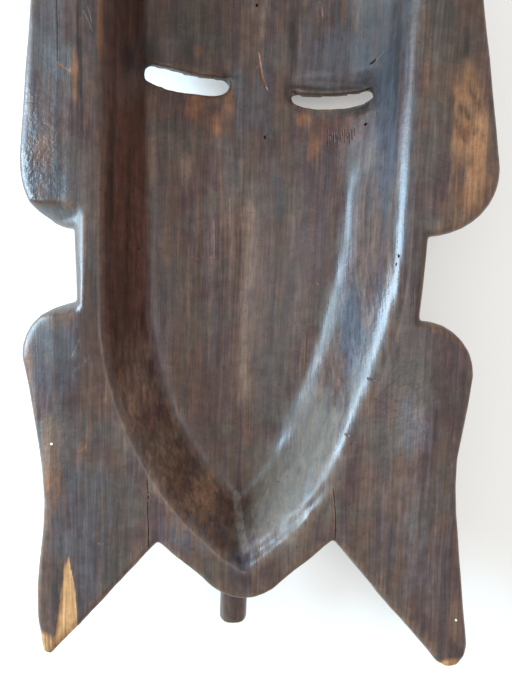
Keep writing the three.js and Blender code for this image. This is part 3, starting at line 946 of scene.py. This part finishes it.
def makeWood():
    material = bpy.data.materials.new("darkWood")
    material.use_nodes = True
    tree = material.node_tree
    shader = tree.nodes["Principled BSDF"]
    place = tree.nodes.new("ShaderNodeTexCoord").outputs["Object"]
    streaks, tearing = makeStreaks(), makeRagged()

    def streak(across, along, detail):
        return put(tree, "ShaderNodeGroup", {"Vector": place, "Across": across, "Along": along,
                   "Detail": detail}, node_tree=streaks).outputs[0]

    def soft(name):
        return put(tree, "ShaderNodeAttribute", attribute_name=name).outputs["Fac"]

    def torn(name, size, bite, most=1.0):
        return put(tree, "ShaderNodeGroup", {"Mask": soft(name), "Vector": place, "Size": size,
                   "Bite": bite, "Most": most}, node_tree=tearing).outputs[0]

    def even(value):
        return put(tree, "ShaderNodeCombineXYZ", {"X": value, "Y": value, "Z": value}).outputs[0]

    aside = sums(tree, "SUBTRACT", streak(drift["across"], drift["along"], 2.0), 0.5)
    shift = put(tree, "ShaderNodeCombineXYZ", {"X": product(tree, aside, drift["by"])})
    moved = put(tree, "ShaderNodeVectorMath", {0: place, 1: shift.outputs[0]}, operation="ADD")
    place = moved.outputs[0]
    noises = {name: streak(*values) for name, values in grain.items()}
    for name, (scale, detail, roughness) in clouds.items():
        node = put(tree, "ShaderNodeTexNoise", {"Vector": place, "Scale": scale, "Detail": detail,
                   "Roughness": roughness})
        noises[name] = node.outputs["Fac"]
    middle, cloud, speck = (noises[name] for name in ("middle", "cloud", "speck"))

    colour = colours["brown"]
    for over, picked, low, high, most in baseLayers:
        share = spread(tree, noises[picked], low, high, 0, most)
        colour = blendColour(tree, share, colour, colours[over])
    for mark, over, size, bite, most in markLayers:
        share = torn(mark, size, bite, most) if size else product(tree, soft(mark), most)
        # the painted warm sheen follows the middle streaks
        if mark == "glow":
            share = product(tree, share, spread(tree, middle, *shades["glow"]))
        colour = blendColour(tree, share, colour, colours[over])
    flecks = spread(tree, speck, *specks["light"])
    flecks = product(tree, flecks, spread(tree, cloud, *specks["clouds"]))
    flecks = product(tree, flecks, specks["strength"])
    colour = blendColour(tree, flecks, colour, colours["warm"])
    colour = blendColour(tree, spread(tree, speck, *specks["dark"]), colour, colours["deep"])
    # painted light and shade, with the wood's tone
    paintedLightTone = product(tree, soft("paintedLightTone"), spread(tree, noises["broad"], *shades["paintedLightTone"]))
    colour = blendColour(tree, 1.0, colour, even(paintedLightTone), "MULTIPLY")
    raw = spread(tree, middle, *shades["bare"])
    raw = blendColour(tree, raw, colours["bareDark"], colours["bareLight"])
    colour = blendColour(tree, torn("bare", *bareEdge), colour, raw)
    lines = 1.0
    for name, low, high, swing in contrasts:
        lines = product(tree, lines, spread(tree, noises[name], low, high, 1 - swing, 1 + swing))
    plain = product(tree, torn("dustAndSheen", *dustAndSheenEdge["colour"]), shades["plainDustAndSheen"])
    lines = put(tree, "ShaderNodeMix", {0: plain, 2: lines, 3: 1.0}).outputs[0]
    colour = blendColour(tree, 1.0, colour, even(lines), "MULTIPLY")
    tree.links.new(colour, shader.inputs["Base Color"])

    rough = sums(tree, "ADD", spread(tree, cloud, *gloss["cloud"]),
                 spread(tree, noises["fine"], *gloss["fine"]))
    shares = {
        "dustAndSheen": torn("dustAndSheen", *dustAndSheenEdge["gloss"]), "bare": torn("bare", *bareEdge),
        "matt": soft("matt"), "polished": soft("polished"),
    }
    for name, share in shares.items():
        rough = sums(tree, "ADD", rough, product(tree, share, gloss[name]))
    tree.links.new(rough, shader.inputs["Roughness"])
    height = product(tree, noises["fine"], relief["fine"])
    height = sums(tree, "ADD", height, product(tree, noises["hair"], relief["hair"]))
    coarse = sums(tree, "ADD", product(tree, soft("pitted"), relief["pitted"]), relief["grit"])
    height = sums(tree, "ADD", height, product(tree, noises["grit"], coarse))
    bump = put(tree, "ShaderNodeBump", {"Height": height, "Strength": 1.0, "Distance": 1.0})
    tree.links.new(bump.outputs[0], shader.inputs["Normal"])
    return material


mask.data.materials.clear()
mask.data.materials.append(makeWood())
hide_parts("mask")
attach(mask, "root")


# Stage, light and camera

floorLook = {"size": 6, "colour": (0.86, 0.86, 0.83), "roughness": 0.9, "glow": 0.3}
lights = [  # m, watts
    {"name": "leftSoftbox", "place": (-0.84, 0.12, 0.36), "size": (0.50, 0.46),
     "strength": 19, "colour": (0.55, 0.80, 1.0)},
    {"name": "overhead", "place": (0.23, 0, 0.9), "size": (0.36, 0.36),
     "strength": 1.3, "colour": (0.95, 0.95, 1.0)},
]
lightAim = (0, 0, 0.03)
sky = {"strength": 0.62, "colour": (0.98, 0.96, 0.95)}
eye = {
    "target": (-1.6, -42.26, 58),  # mm, the spot on the flat back that it looks at
    "distance": 244,
    "towardsHead": 4,  # degrees
    "towardsLeft": 2.5,
    "roll": 1.9,
    "lens": 27.09,
    "nearest": 10,  # mm
}


def makeFloor():
    bpy.ops.object.select_all(action="DESELECT")
    bpy.ops.mesh.primitive_plane_add(size=floorLook["size"], location=(0, 0, 0))
    floor = bpy.context.object
    floor.name = "floor"
    paper = bpy.data.materials.new("paleFloor")
    paper.use_nodes = True
    matte = paper.node_tree.nodes["Principled BSDF"]
    matte.inputs["Base Color"].default_value = (*floorLook["colour"], 1)
    matte.inputs["Roughness"].default_value = floorLook["roughness"]
    matte.inputs["Emission Color"].default_value = (*floorLook["colour"], 1)
    matte.inputs["Emission Strength"].default_value = floorLook["glow"]
    floor.data.materials.append(paper)


def makeLights():
    for light in lights:
        data = bpy.data.lights.new(light["name"], "AREA")
        data.shape = "RECTANGLE"
        data.size, data.size_y = light["size"]
        data.energy = light["strength"]
        data.color = light["colour"]
        lamp = bpy.data.objects.new(light["name"], data)
        lamp.location = light["place"]
        way = Vector(lightAim) - Vector(light["place"])
        lamp.rotation_euler = way.to_track_quat("-Z", "Y").to_euler()
        scene.collection.objects.link(lamp)
    world = bpy.data.worlds.new("softStudio")
    world.use_nodes = True
    background = world.node_tree.nodes["Background"]
    background.inputs["Color"].default_value = (*sky["colour"], 1)
    background.inputs["Strength"].default_value = sky["strength"]
    scene.world = world
    scene.view_settings.view_transform = "Standard"


def makeCamera():
    tip, turn, roll = (math.radians(eye[k]) for k in ("towardsHead", "towardsLeft", "roll"))
    flat = math.cos(tip)
    back = Vector((-math.sin(turn) * flat, math.sin(tip), math.cos(turn) * flat))
    right = Vector((math.cos(turn), 0, math.sin(turn)))
    up = back.cross(right)
    across = math.cos(roll) * right + math.sin(roll) * up
    above = math.cos(roll) * up - math.sin(roll) * right
    data = bpy.data.cameras.new("camera")
    data.lens = eye["lens"]
    data.clip_start = eye["nearest"] * mm
    camera = bpy.data.objects.new("camera", data)
    scene.collection.objects.link(camera)
    place = Vector(eye["target"]) * mm + back * eye["distance"] * mm
    turned = Matrix((across, above, back)).transposed().to_quaternion()
    camera.matrix_world = Matrix.LocRotScale(place, turned, None)
    scene.camera = camera


makeFloor()
makeLights()
makeCamera()
print("stage ready")
